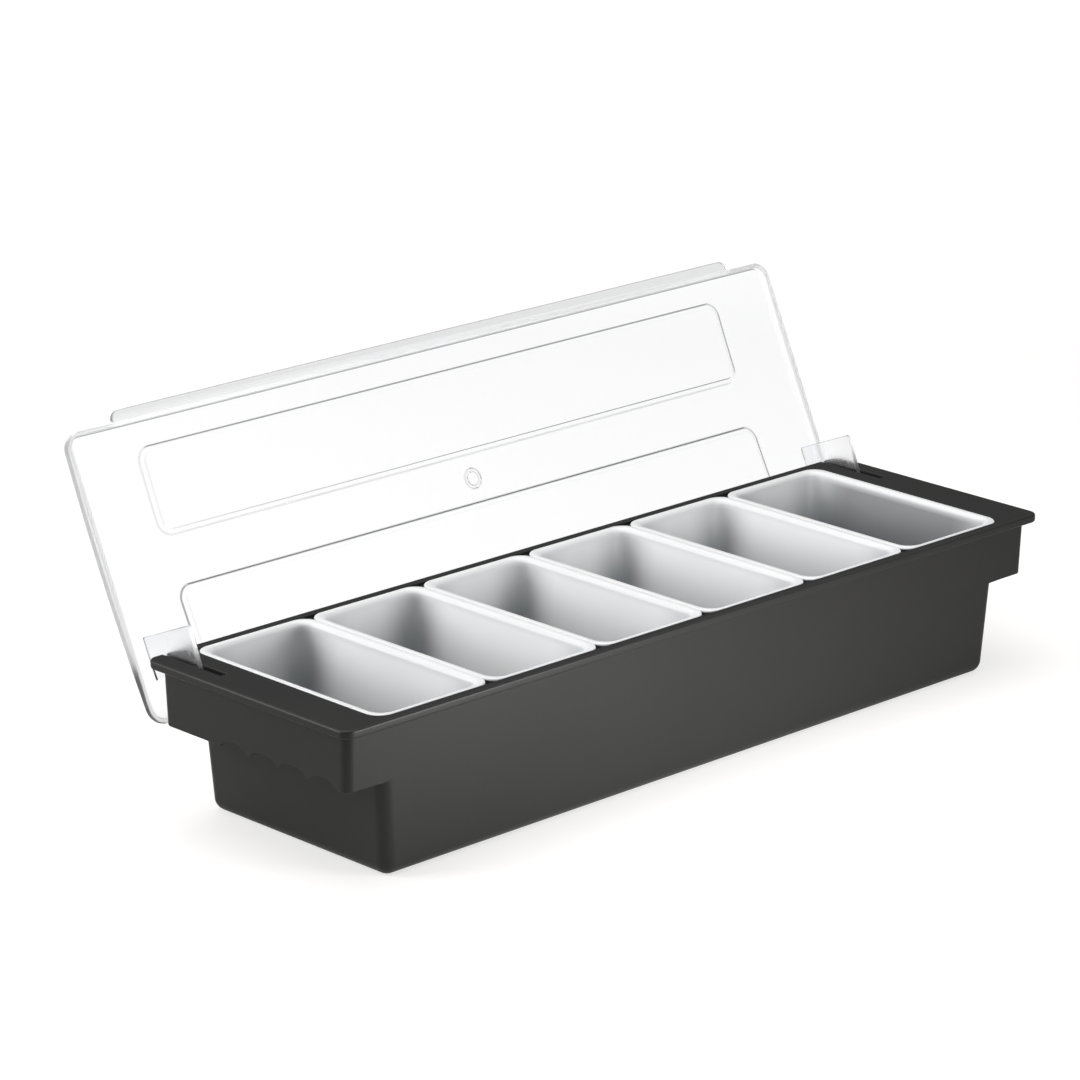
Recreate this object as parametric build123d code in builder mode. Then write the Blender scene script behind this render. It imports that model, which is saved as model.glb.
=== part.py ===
from build123d import *
import math
import os

# Bar garnish tray: a moulded tray, six lift-out inserts and a clear lid that opens behind it.
# Millimetres. X runs along the tray, Y to its rear and Z up from the middle of the underside.
# The lid stands open, as it is used; its closed place is worked out beside it.

# Tray
tray_length = 500.0
tray_width = 148.0
tray_height = 85.0
tray_wall = 2.2
floor_thickness = 2.6
end_ledge = 25.6
end_draft = 6.4
side_draft = 3.5
body_edge_radius = 7.0
ledge_thickness = 3.0

# Rim: a flat flange with a turned-down lip
rim_overhang = 5.0
rim_depth = 4.7
rim_lip = 1.9
rim_corner_radius = 6.0
rim_edge_radius = 1.3

# End skirts with their finger recesses
skirt_depth = 34.0
skirt_draft = 0.6
skirt_corner_radius = 5.0
finger_count = 4
finger_pitch = 21.5
finger_rise = 4.45
finger_row_center = -18.0
finger_cusp_radius = 1.2

# Inserts
insert_count = 6
insert_lap = 0.6
insert_gap = 0.3
insert_wall = 1.8
insert_rim_thickness = 1.8
insert_rim_radius = 9.0
insert_floor_gap = 4.4
insert_corner_radius = 9.0
insert_floor_chamfer = 4.0
rebate_clearance = 0.3
rebate_strip = 5.15
wall_clearance = 0.35

# Lid
lid_wall = 2.2
lid_rear_height = 3.2
lid_middle_height = 6.8
lid_front_height = 5.2
lid_corner_radius = 9.0
lid_edge_radius = 1.6
lid_seat_gap = 0.5
lid_front_overhang = 1.9
lid_rear_overhang = 0.9
grip_inset = 30.5
grip_width = 5.6
grip_corner_radius = 5.0

# The open lid leans back and its rear edge hangs down behind the tray
lean_angle = 25.2
hang_depth = 34.2
hang_gap = 0.6

# Stepped panels of the lid: their distances from its ends and long edges, and from each other
panel_inset = 42.5
panel_rear_margin = 22.0
panel_front_margin = 15.3
panel_gap = 26.0
panel_step = 0.6
panel_corner_radius = 8.0
gate_radius = 5.5
gate_nub_radius = 3.8
gate_depth = 0.5
gate_offset = 1.1

# Hinge fins on the lid, in slots of the end ledges
fin_inset = 12.5
fin_thickness = 2.4
fin_depth = 35.0
fin_low = 21.5
fin_high = 44.0
fin_slant = 1.5
fin_corner_radius = 1.0
fin_seat = 3.0
foot_radius = 4.5
slot_width = 4.2
slot_reach = 44.8
notch_depth = 11.6

# Hinge pins, in slanted guides below the end ledges
pin_radius = 2.0
pin_head_radius = 3.2
pin_head_length = 1.2
pin_clearance = 0.06
pin_end = 0.6
pin_low = 15.0
pin_depth = 29.0
guide_rib_thickness = 2.5
guide_rib_gap = 1.0
guide_margin = 3.2

overrun = 5.0

# Places worked out from the sizes above
half_length = tray_length / 2
half_width = tray_width / 2
ledge_underside = tray_height - ledge_thickness
skirt_bottom = tray_height - skirt_depth
body_half_length = half_length - end_ledge
side_half_width = half_width - rim_overhang
skirt_half_length = half_length - rim_overhang
fin_place = half_length - fin_inset
insert_pitch = 2 * (body_half_length + insert_lap) / insert_count
lid_length = tray_length
lid_width = tray_width + lid_rear_overhang + lid_front_overhang
gate_distance = lid_width / 2 + gate_offset
panel_length = lid_length - 2 * panel_inset
panel_sides = [
    (panel_rear_margin, gate_distance - panel_gap / 2),
    (gate_distance + panel_gap / 2, lid_width - panel_front_margin),
]
upward_share = 0.9


def end_wall_place(height):
    """Outer face of the body's end wall at a height."""
    return body_half_length - end_draft * (tray_height - height) / tray_height


def side_wall_place(height):
    """Outer face of the front and rear walls at a height."""
    return side_half_width - side_draft * (tray_height - height) / tray_height


def skirt_end_place(height):
    """Outer face of the skirt's end wall at a height."""
    return skirt_half_length - skirt_draft * (tray_height - height) / skirt_depth


def tapered_profile(low, low_half, high, high_half):
    """Sketch face of a symmetric wall profile: a half size at its low and at its high end."""
    Polygon((-low_half, low), (low_half, low), (high_half, high), (-high_half, high), align=None)


def footed_profile(low, low_half, high, high_half, foot):
    """The same sketch face with its two lower corners cut off by a chamfer."""
    Polygon(
        (foot - low_half, low),
        (low_half - foot, low),
        (low_half, low + foot),
        (high_half, high),
        (-high_half, high),
        (-low_half, low + foot),
        align=None,
    )


def runs_upwards(edge):
    """Whether an edge is one of a drafted block's slanted corner edges."""
    return abs(edge.tangent_at(0.5).Z) > upward_share


# The lid's own planes: distances run from its rear edge, depths run from its free edge to the inside
lean = math.radians(lean_angle)
hang_height = tray_height - hang_depth
lid_origin = Vector(0, side_wall_place(hang_height) + hang_gap, hang_height)
lid_up = Vector(0, math.sin(lean), math.cos(lean))
lid_in = Vector(0, -math.cos(lean), math.sin(lean))
lid_plane = Plane(origin=lid_origin, x_dir=(1, 0, 0), z_dir=lid_in)
lid_section_plane = Plane(origin=lid_origin, x_dir=lid_up, z_dir=(1, 0, 0))

# The pin's place in the tray when the lid is open, and when it lies closed on the rim
open_pin = lid_origin + lid_up * pin_low + lid_in * pin_depth
closed_rear = half_width + lid_rear_overhang
closed_pin = Vector(0, closed_rear - pin_low, tray_height + lid_seat_gap - pin_depth)
guide_travel = (closed_pin - open_pin).length
guide_center = (open_pin + closed_pin) * 0.5
guide_angle = math.degrees(math.atan2(open_pin.Z - closed_pin.Z, open_pin.Y - closed_pin.Y))
print("open pin", open_pin, "closed pin", closed_pin, "travel", guide_travel)
print("turn to close", 90 + lean_angle, "lid origin", lid_origin)

os.makedirs("parts", exist_ok=True)

# Hollow of the tray's body: drafted differently at its ends and at its sides
cavity_top = tray_height + overrun
cavity_corner_radius = body_edge_radius - tray_wall
with BuildPart() as body_cavity:
    with BuildSketch(Plane.XZ):
        footed_profile(
            floor_thickness,
            end_wall_place(floor_thickness) - tray_wall,
            cavity_top,
            end_wall_place(cavity_top) - tray_wall,
            cavity_corner_radius / 2,
        )
    extrude(amount=half_width, both=True)
    with BuildSketch(Plane.YZ):
        footed_profile(
            floor_thickness,
            side_wall_place(floor_thickness) - tray_wall,
            cavity_top,
            side_wall_place(cavity_top) - tray_wall,
            cavity_corner_radius / 2,
        )
    extrude(amount=half_length, both=True, mode=Mode.INTERSECT)
    fillet(body_cavity.edges().filter_by(runs_upwards), cavity_corner_radius)

# Solid form of the tray's body, with its rounded foot
with BuildPart() as body_form:
    with BuildSketch(Plane.XZ):
        tapered_profile(0, end_wall_place(0), tray_height, end_wall_place(tray_height))
    extrude(amount=half_width, both=True)
    with BuildSketch(Plane.YZ):
        tapered_profile(0, side_wall_place(0), tray_height, side_wall_place(tray_height))
    extrude(amount=half_length, both=True, mode=Mode.INTERSECT)
    fillet(body_form.edges() - body_form.edges().group_by(Axis.Z)[-1], body_edge_radius)

# End skirts, flush with the front and rear walls
with BuildPart() as skirt_form:
    with BuildSketch(Plane.XZ):
        tapered_profile(
            skirt_bottom, skirt_end_place(skirt_bottom), ledge_underside, skirt_end_place(ledge_underside)
        )
    extrude(amount=half_width, both=True)
    with BuildSketch(Plane.YZ):
        tapered_profile(
            skirt_bottom, side_wall_place(skirt_bottom), ledge_underside, side_wall_place(ledge_underside)
        )
    extrude(amount=half_length, both=True, mode=Mode.INTERSECT)
    fillet(skirt_form.edges().filter_by(runs_upwards), skirt_corner_radius)

# Hollow under the end ledges, inside the skirts
skirt_opening = skirt_bottom - overrun
with BuildPart() as skirt_cavity:
    with BuildSketch(Plane.XZ):
        tapered_profile(
            skirt_opening,
            skirt_end_place(skirt_opening) - tray_wall,
            ledge_underside,
            skirt_end_place(ledge_underside) - tray_wall,
        )
    extrude(amount=half_width, both=True)
    with BuildSketch(Plane.YZ):
        tapered_profile(
            skirt_opening,
            side_wall_place(skirt_opening) - tray_wall,
            ledge_underside,
            side_wall_place(ledge_underside) - tray_wall,
        )
    extrude(amount=half_length, both=True, mode=Mode.INTERSECT)
    fillet(skirt_cavity.edges().filter_by(runs_upwards), skirt_corner_radius - tray_wall)

# Finger recesses along the lower edge of an end skirt: arcs that meet in rounded cusps
finger_radius = ((finger_pitch / 2) ** 2 + finger_rise**2) / (2 * finger_rise)
finger_center_height = skirt_bottom + finger_rise - finger_radius
finger_places = [
    (finger_row_center + finger_pitch * (index - (finger_count - 1) / 2), finger_center_height)
    for index in range(finger_count)
]

# Tray, moulded in one
with BuildPart() as tray:
    # Rim flange with rounded outer edges
    with BuildSketch(Plane.XY.offset(tray_height - rim_depth)):
        RectangleRounded(tray_length, tray_width, rim_corner_radius)
    extrude(amount=rim_depth)
    fillet(tray.edges().group_by(Axis.Z)[0] + tray.edges().group_by(Axis.Z)[-1], rim_edge_radius)
    # Groove behind the rim's lip
    with BuildSketch(Plane.XY.offset(tray_height - rim_depth)):
        RectangleRounded(tray_length - 2 * rim_lip, tray_width - 2 * rim_lip, rim_corner_radius - rim_lip)
    extrude(amount=rim_depth - ledge_thickness, mode=Mode.SUBTRACT)
    # Hollow end skirts
    add(skirt_form.part)
    add(skirt_cavity.part, mode=Mode.SUBTRACT)
    # Body between the skirts
    add(body_form.part)
    add(body_cavity.part, mode=Mode.SUBTRACT)
    # Rebate that the inserts' rims lie in
    with BuildSketch(Plane.XY.offset(tray_height - insert_rim_thickness)):
        RectangleRounded(
            insert_count * insert_pitch + rebate_clearance,
            tray_width - 2 * rebate_strip,
            insert_rim_radius,
        )
    extrude(amount=insert_rim_thickness + overrun, mode=Mode.SUBTRACT)
    for side in (-1, 1):
        # Ribs with the slanted guides of the hinge pins
        rib_place = side * (fin_place - fin_thickness / 2 - guide_rib_gap - guide_rib_thickness / 2)
        guide_half = pin_radius + pin_clearance
        rib_reach = guide_half + guide_margin
        rib_bottom = closed_pin.Z - rib_reach + guide_margin / 2
        with BuildSketch(Plane.YZ.offset(rib_place)):
            with BuildLine():
                Polyline(
                    (side_wall_place(ledge_underside) - tray_wall / 2, ledge_underside + ledge_thickness / 2),
                    (open_pin.Y - rib_reach, ledge_underside + ledge_thickness / 2),
                    (open_pin.Y - rib_reach, open_pin.Z),
                    (closed_pin.Y - rib_reach, rib_bottom),
                    (side_wall_place(skirt_bottom) - tray_wall / 2, rib_bottom),
                    close=True,
                )
            make_face()
            with Locations((guide_center.Y, guide_center.Z)):
                SlotCenterToCenter(guide_travel, 2 * guide_half, rotation=guide_angle, mode=Mode.SUBTRACT)
        extrude(amount=guide_rib_thickness / 2, both=True)
        # Slot of the hinge fin, open through the rim and the rear wall
        with BuildSketch(Plane.YZ.offset(side * fin_place)):
            with BuildLine():
                Polyline(
                    (half_width - slot_reach, ledge_underside - rim_depth),
                    (half_width - slot_reach, tray_height + overrun),
                    (half_width + overrun, tray_height + overrun),
                    (half_width + overrun, tray_height - notch_depth),
                    (side_wall_place(ledge_underside) - tray_wall - overrun, tray_height - notch_depth),
                    (side_wall_place(ledge_underside) - tray_wall - overrun, ledge_underside - rim_depth),
                    close=True,
                )
            make_face()
        extrude(amount=slot_width / 2, both=True, mode=Mode.SUBTRACT)
        # Finger recesses in the skirt's end wall
        with BuildSketch(Plane.YZ.offset(side * skirt_half_length)) as finger_row:
            with Locations(*finger_places):
                Circle(finger_radius)
            cusps = finger_row.vertices().group_by(Axis.Y)[-1]
            fillet(cusps, finger_cusp_radius)
        extrude(amount=tray_wall + overrun / 2, both=True, mode=Mode.SUBTRACT)

tray.part.label = "tray"
export_step(tray.part, "parts/tray.step")

# Inserts: tapered tubs whose rims lie side by side in the rebate
rim_underside = tray_height - insert_rim_thickness
insert_rim_length = tray_width - 2 * rebate_strip - 2 * rebate_clearance
insert_rim_across = insert_pitch - insert_gap
tub_end_place = body_half_length - tray_wall - wall_clearance
tub_half_across = tub_end_place - (insert_count - 1) * insert_pitch / 2
tub_half_length = side_wall_place(rim_underside) - tray_wall - wall_clearance
insert_bottom = floor_thickness + insert_floor_gap


def tub_half_sizes(height, inward):
    """Half sizes across and along of the tub at a height, drawn in by a wall or not at all."""
    drop_share = (tray_height - height) / tray_height
    across = tub_half_across - end_draft * drop_share - inward
    along = tub_half_length - side_draft * drop_share - inward
    return across, along


for number in range(insert_count):
    insert_place = (number - (insert_count - 1) / 2) * insert_pitch
    with BuildPart() as tub_hollow:
        hollow_bottom = insert_bottom + insert_wall
        hollow_chamfer = insert_floor_chamfer - insert_wall / 2
        low_across, low_along = tub_half_sizes(hollow_bottom, insert_wall)
        high_across, high_along = tub_half_sizes(tray_height, insert_wall)
        with BuildSketch(Plane.XZ.shift_origin((insert_place, 0, 0))):
            footed_profile(hollow_bottom, low_across, tray_height, high_across, hollow_chamfer)
        extrude(amount=half_width, both=True)
        with BuildSketch(Plane.YZ.offset(insert_place)):
            footed_profile(hollow_bottom, low_along, tray_height, high_along, hollow_chamfer)
        extrude(amount=insert_pitch, both=True, mode=Mode.INTERSECT)
        fillet(tub_hollow.edges().filter_by(runs_upwards), insert_corner_radius - insert_wall)
    with BuildPart() as insert:
        low_across, low_along = tub_half_sizes(insert_bottom, 0)
        high_across, high_along = tub_half_sizes(rim_underside, 0)
        with BuildSketch(Plane.XZ.shift_origin((insert_place, 0, 0))):
            footed_profile(insert_bottom, low_across, rim_underside, high_across, insert_floor_chamfer)
        extrude(amount=half_width, both=True)
        with BuildSketch(Plane.YZ.offset(insert_place)):
            footed_profile(insert_bottom, low_along, rim_underside, high_along, insert_floor_chamfer)
        extrude(amount=insert_pitch, both=True, mode=Mode.INTERSECT)
        fillet(insert.edges().filter_by(runs_upwards), insert_corner_radius)
        # Flat rim round the mouth
        with BuildSketch(Plane.XY.offset(rim_underside).shift_origin((insert_place, 0, rim_underside))):
            RectangleRounded(insert_rim_across, insert_rim_length, insert_rim_radius)
        extrude(amount=insert_rim_thickness)
        add(tub_hollow.part, mode=Mode.SUBTRACT)
    insert.part.label = f"insert_{number + 1}"
    export_step(insert.part, f"parts/insert_{number + 1}.step")


def crown(inward, end_inset):
    """Points of the lid's arched face, drawn in by a wall: rear, middle and front."""
    return (
        (end_inset, inward - lid_rear_height),
        (lid_width / 2, inward - lid_middle_height),
        (lid_width - end_inset, inward - lid_front_height),
    )


def crown_band(from_step, to_step):
    """Sketch outline between two copies of the arched face, each stepped inwards."""
    upper = crown(from_step, 0)
    lower = crown(to_step, 0)
    ThreePointArc(*upper)
    Line(upper[-1], lower[-1])
    ThreePointArc(*lower)
    Line(lower[0], upper[0])


def runs_inwards(edge):
    """Whether an edge is one of the lid's corner edges, square to its free edge."""
    return abs(edge.tangent_at(0.5).dot(lid_in)) > upward_share


# Hollow of the lid
with BuildPart() as lid_hollow:
    with BuildSketch(lid_section_plane):
        with BuildLine():
            inner_face = crown(lid_wall, lid_wall)
            ThreePointArc(*inner_face)
            Line(inner_face[-1], (lid_width - lid_wall, overrun))
            Line((lid_width - lid_wall, overrun), (lid_wall, overrun))
            Line((lid_wall, overrun), inner_face[0])
        make_face()
    extrude(amount=lid_length / 2 - lid_wall, both=True)
    fillet(lid_hollow.edges().filter_by(runs_inwards), lid_corner_radius - lid_wall)

# Stepped panels: the arched face is set inwards inside two rounded outlines
panel_cuts = []
panel_fills = []
for low, high in panel_sides:
    for from_step, to_step, solids in (
        (-overrun, panel_step, panel_cuts),
        (lid_wall, lid_wall + panel_step, panel_fills),
    ):
        with BuildPart() as panel_solid:
            with BuildSketch(lid_section_plane):
                with BuildLine():
                    crown_band(from_step, to_step)
                make_face()
            extrude(amount=lid_length / 2, both=True)
            panel_middle = lid_plane.from_local_coords((0, (low + high) / 2, 0))
            with BuildSketch(lid_plane.shift_origin(panel_middle)):
                RectangleRounded(panel_length, high - low, panel_corner_radius)
            extrude(amount=lid_width, both=True, mode=Mode.INTERSECT)
        solids.append(panel_solid.part)

# Lid, moulded in one with its fins, grip and panels
with BuildPart() as lid:
    with BuildSketch(lid_section_plane):
        with BuildLine():
            outer_face = crown(0, 0)
            ThreePointArc(*outer_face)
            Line(outer_face[-1], (lid_width, 0))
            Line((lid_width, 0), (0, 0))
            Line((0, 0), outer_face[0])
        make_face()
    extrude(amount=lid_length / 2, both=True)
    fillet(lid.edges().filter_by(runs_inwards), lid_corner_radius)
    crown_faces = lid.faces().filter_by(GeomType.CYLINDER).sort_by(SortBy.AREA)
    fillet(crown_faces[-1].edges(), lid_edge_radius)
    add(lid_hollow.part, mode=Mode.SUBTRACT)
    for panel_cut in panel_cuts:
        add(panel_cut, mode=Mode.SUBTRACT)
    for panel_fill in panel_fills:
        add(panel_fill)
    # Round gate mark in the middle of the arched face
    gate_center = lid_plane.from_local_coords((0, gate_distance, gate_depth - lid_middle_height))
    with BuildSketch(Plane(origin=gate_center, x_dir=(1, 0, 0), z_dir=lid_in)):
        Circle(gate_radius)
        Circle(gate_nub_radius, mode=Mode.SUBTRACT)
    extrude(amount=-lid_wall, mode=Mode.SUBTRACT)
    # Grip along the front edge, level with the free edge
    grip_middle = lid_plane.from_local_coords((0, lid_width, 0))
    grip_breadth = 2 * grip_width + lid_wall
    with BuildSketch(lid_plane.shift_origin(grip_middle)):
        with Locations((0, -lid_wall / 2)):
            RectangleRounded(lid_length - 2 * grip_inset, grip_breadth, grip_corner_radius)
            Rectangle(lid_length, grip_breadth, align=(Align.CENTER, Align.MAX), mode=Mode.SUBTRACT)
    extrude(amount=-lid_wall)
    # Fins with a foot that turns on the hinge pin
    for side in (-1, 1):
        with BuildSketch(lid_section_plane.offset(side * fin_place)):
            with BuildLine():
                FilletPolyline(
                    (fin_low, -fin_seat),
                    (fin_high, -fin_seat),
                    (fin_high - fin_slant, fin_depth),
                    (pin_low, fin_depth),
                    (pin_low, pin_depth - foot_radius),
                    (fin_low, pin_depth - foot_radius - foot_radius / 2),
                    radius=fin_corner_radius,
                    close=True,
                )
            make_face()
            with Locations((pin_low, pin_depth)):
                Circle(foot_radius)
                Circle(pin_radius + pin_clearance, mode=Mode.SUBTRACT)
        extrude(amount=fin_thickness / 2, both=True)

lid.part.label = "lid"
export_step(lid.part, "parts/lid.step")

# Hinge pins: one through the foot of each fin, its inner end in the guide
for side, name in ((-1, "hinge_pin_left"), (1, "hinge_pin_right")):
    fin_outer_face = side * (fin_place + fin_thickness / 2 + pin_clearance)
    pin_length = fin_thickness + guide_rib_gap + guide_rib_thickness + pin_end
    pin_plane = Plane(
        origin=(fin_outer_face, open_pin.Y, open_pin.Z), x_dir=(0, 1, 0), z_dir=(side, 0, 0)
    )
    with BuildPart() as hinge_pin:
        with BuildSketch(pin_plane):
            Circle(pin_radius)
        extrude(amount=-pin_length)
        chamfer(hinge_pin.edges().group_by(Axis.X)[0 if side > 0 else -1], pin_end / 2)
        with BuildSketch(pin_plane):
            Circle(pin_head_radius)
        extrude(amount=pin_head_length)
    hinge_pin.part.label = name
    export_step(hinge_pin.part, f"parts/{name}.step")
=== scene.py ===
import math

import bmesh
import bpy
import numpy as np
from mathutils import Matrix, Vector


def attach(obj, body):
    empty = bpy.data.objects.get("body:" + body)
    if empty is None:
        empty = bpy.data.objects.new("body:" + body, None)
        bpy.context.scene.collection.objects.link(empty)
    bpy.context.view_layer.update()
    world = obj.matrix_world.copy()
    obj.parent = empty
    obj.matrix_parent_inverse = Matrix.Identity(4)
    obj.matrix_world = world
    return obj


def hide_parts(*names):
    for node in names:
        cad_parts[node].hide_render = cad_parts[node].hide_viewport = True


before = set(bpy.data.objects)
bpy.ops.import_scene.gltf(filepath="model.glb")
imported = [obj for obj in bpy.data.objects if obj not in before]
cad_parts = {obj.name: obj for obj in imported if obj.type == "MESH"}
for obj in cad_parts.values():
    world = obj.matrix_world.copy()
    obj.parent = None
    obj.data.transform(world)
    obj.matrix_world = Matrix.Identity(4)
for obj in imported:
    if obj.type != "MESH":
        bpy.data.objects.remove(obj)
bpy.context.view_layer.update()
print("frame loaded:", len(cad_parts), "nodes")

# Sizes are metres. X runs along the tray, Y to its rear and Z up, as in the frame.

smoothAngle = 32.0  # degrees; an edge that turns more than this stays sharp
quarterTurn = np.radians([0, 30, 60, 90])  # the steps of a small rounded edge
tiny = 1e-9  # keeps a division from failing

cameraView = {
    "azimuth": -43.87,  # degrees; the camera stands to the front left
    "elevation": 17.68,
    "distance": 2.4054,
    "aimHeight": 0.040,  # it is turned towards this height over the tray's middle
    "slide": -0.03804,  # and then moved along its own right and its own up
    "lift": 0.06457,
    "sensorWidth": 36.0,
    "lens": 154.9,
}

studio = {
    # how bright the room is at each share of the way up from the horizon, in reflections
    # and as the eye sees it
    "roomReflected": ((0.0, 0.22), (0.08, 0.12), (0.50, 0.13), (0.80, 0.87), (1.0, 0.99)),
    "roomSeen": ((0.0, 0.44), (0.12, 0.44), (0.35, 0.62), (0.70, 0.80), (1.0, 0.90)),
    "floorSize": 24.0,
    "floorColor": (0.42, 0.41, 0.40, 1.0),
    "floorRoughness": 0.9,
    # between two distances from the middle the floor's glow goes from one level to another,
    # and further off it falls to a share of that
    "floorGlow": (0.80, 1.6, 0.61, 0.87),
    "floorFade": (2.6, 6.0, 1.0, 0.275),
    # reflections get most of the glow only in a pool of light in front of the object, which
    # ends between two distances from its own middle
    "poolPlace": (-0.08, -0.18, 0.0),
    "poolReach": (0.05, 0.38),
    "poolLevels": (0.95, 0.12),
    # place, size and power of each soft light
    "lights": {
        "leftSoftbox": ((-1.2, 0.75, 0.60), 0.9, 15.0),
        "frontSoftbox": ((0.03, -0.42, 0.10), 0.22, 2.0),
        "topSoftbox": ((-0.1, 0.3, 1.9), 1.5, 15.5),
    },
}


def linked(name, data):
    # an object for the data, put into the scene
    item = bpy.data.objects.new(name, data)
    bpy.context.scene.collection.objects.link(item)
    return item


def newPiece(name, mesh, material, body):
    # a piece with its material and the body that it rides on
    piece = linked(name, mesh)
    mesh.materials.clear()
    mesh.materials.append(material)
    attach(piece, body)
    return piece


def smoothStep(t):
    # an even S that rises from 0 to 1 as t does
    t = np.clip(t, 0, 1)
    return t * t * (3 - 2 * t)


def stepAcross(reach, width):
    # the same S, a width wide, with its middle where the reach is 0
    return smoothStep(reach / width + 0.5)


def stripFaces(lower, upper):
    # quads between two closed loops of vertex numbers, both walked the same way
    nextLower, nextUpper = np.roll(lower, -1), np.roll(upper, -1)
    return np.stack([lower, nextLower, nextUpper, upper], axis=1)


def stackFaces(numbers):
    # quads between each loop of a stack and the next, and one face over each of its ends
    strips = [stripFaces(numbers[k], numbers[k + 1]) for k in range(len(numbers) - 1)]
    return np.concatenate(strips).tolist() + [numbers[0][::-1].tolist(), numbers[-1].tolist()]


# Materials: small helpers for their nodes come first

grainForm = {
    "detail": 3.0,
    "roughness": 0.6,
    "cloudDetail": 4.0,
    "cloudDistortion": 0.4,
    "cloudRange": (0.3, 0.7),  # where nearly all of the cloud's values lie
}

anyDepth = 0.5  # a ray's depth is above this once it has met that kind of surface


def newGroup(name, inputs, outputs):
    # a node group with named inputs, which have first values, and named outputs
    group = bpy.data.node_groups.new(name, "ShaderNodeTree")
    for label, kind, value in inputs:
        socket = group.interface.new_socket(label, in_out="INPUT", socket_type=kind)
        socket.default_value = value
    for label, kind in outputs:
        group.interface.new_socket(label, in_out="OUTPUT", socket_type=kind)
    return group, group.nodes.new("NodeGroupInput"), group.nodes.new("NodeGroupOutput")


def mouldedGrain(form):
    # fine spark-eroded grain, and slow unevenness of the gloss, on Object coordinates
    group, given, result = newGroup(
        "mouldedGrain",
        [("Grain Scale", "NodeSocketFloat", 2600.0), ("Cloud Scale", "NodeSocketFloat", 14.0)],
        [("Height", "NodeSocketFloat"), ("Cloud", "NodeSocketFloat")],
    )
    place = group.nodes.new("ShaderNodeTexCoord")
    grain = group.nodes.new("ShaderNodeTexNoise")
    grain.inputs["Detail"].default_value = form["detail"]
    grain.inputs["Roughness"].default_value = form["roughness"]
    cloud = group.nodes.new("ShaderNodeTexNoise")
    cloud.inputs["Detail"].default_value = form["cloudDetail"]
    cloud.inputs["Distortion"].default_value = form["cloudDistortion"]
    for noise, scale, label in ((grain, "Grain Scale", "Height"), (cloud, "Cloud Scale", "Cloud")):
        group.links.new(place.outputs["Object"], noise.inputs["Vector"])
        group.links.new(given.outputs[scale], noise.inputs["Scale"])
        group.links.new(noise.outputs["Fac"], result.inputs[label])
    return group


grainGroup = mouldedGrain(grainForm)


def newMaterial(name):
    # a material, its node tree and its main shader
    material = bpy.data.materials.new(name)
    material.use_nodes = True
    tree = material.node_tree
    return material, tree, tree.nodes["Principled BSDF"]


def mapRange(tree, source, fromMin, fromMax, toMin, toMax):
    # values between two limits are spread between two others
    spread = tree.nodes.new("ShaderNodeMapRange")
    limits = {"From Min": fromMin, "From Max": fromMax, "To Min": toMin, "To Max": toMax}
    for label, value in limits.items():
        spread.inputs[label].default_value = value
    tree.links.new(source, spread.inputs["Value"])
    return spread.outputs["Result"]


def maths(tree, operation, first, second):
    # one sum on two sockets, or on a socket and a number
    node = tree.nodes.new("ShaderNodeMath")
    node.operation = operation
    for socket, value in zip(node.inputs, (first, second)):
        if isinstance(value, float):
            socket.default_value = value
        else:
            tree.links.new(value, socket)
    return node.outputs["Value"]


def pointValue(tree, name):
    # a value that the mesh's points carry
    node = tree.nodes.new("ShaderNodeAttribute")
    node.attribute_name = name
    return node.outputs["Fac"]


def heightShare(tree, low, high):
    # 0 at one height on the piece and 1 at another
    place = tree.nodes.new("ShaderNodeTexCoord")
    parts = tree.nodes.new("ShaderNodeSeparateXYZ")
    tree.links.new(place.outputs["Object"], parts.inputs["Vector"])
    return mapRange(tree, parts.outputs["Z"], low, high, 0.0, 1.0)


def colorSteps(tree, source, steps):
    # colours at given values of the source, eased from one to the next
    ramp = tree.nodes.new("ShaderNodeValToRGB")
    ramp.color_ramp.interpolation = "EASE"
    elements = ramp.color_ramp.elements
    for k, (place, color) in enumerate(steps):
        step = elements[k] if k < 2 else elements.new(place)  # a new ramp has two already
        step.position = place
        step.color = (*color, 1.0)
    tree.links.new(source, ramp.inputs["Fac"])
    return ramp.outputs["Color"]


def blendColors(tree, factor, first, second):
    # from the first colour to the second as the factor goes from 0 to 1
    blend = tree.nodes.new("ShaderNodeMix")
    blend.data_type = "RGBA"
    tree.links.new(factor, blend.inputs["Factor"])
    for socket, value in (("A", first), ("B", second)):
        if isinstance(value, tuple):
            blend.inputs[socket].default_value = value
        else:
            tree.links.new(value, blend.inputs[socket])
    return blend.outputs["Result"]


def addGrain(tree, shader, look):
    # grain feeds a bump, and cloud spreads the roughness between two values
    grain = tree.nodes.new("ShaderNodeGroup")
    grain.node_tree = grainGroup
    grain.inputs["Grain Scale"].default_value = look["grainScale"]
    grain.inputs["Cloud Scale"].default_value = look["cloudScale"]
    bump = tree.nodes.new("ShaderNodeBump")
    bump.inputs["Strength"].default_value = look["bumpStrength"]
    bump.inputs["Distance"].default_value = look["bumpDistance"]
    tree.links.new(grain.outputs["Height"], bump.inputs["Height"])
    tree.links.new(bump.outputs["Normal"], shader.inputs["Normal"])
    cloud = grain.outputs["Cloud"]
    rough = mapRange(tree, cloud, *grainForm["cloudRange"], look["roughLow"], look["roughHigh"])
    tree.links.new(rough, shader.inputs["Roughness"])
    return cloud, rough


trayPlastic = {
    "dark": (0.0125, 0.0125, 0.0122, 1.0),
    "light": (0.0165, 0.0163, 0.0158, 1.0),
    "roughLow": 0.38,
    "roughHigh": 0.46,
    "specular": 0.30,
    "grainScale": 2600.0,
    "cloudScale": 9.0,
    "bumpStrength": 0.22,
    "bumpDistance": 0.00006,
}


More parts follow.
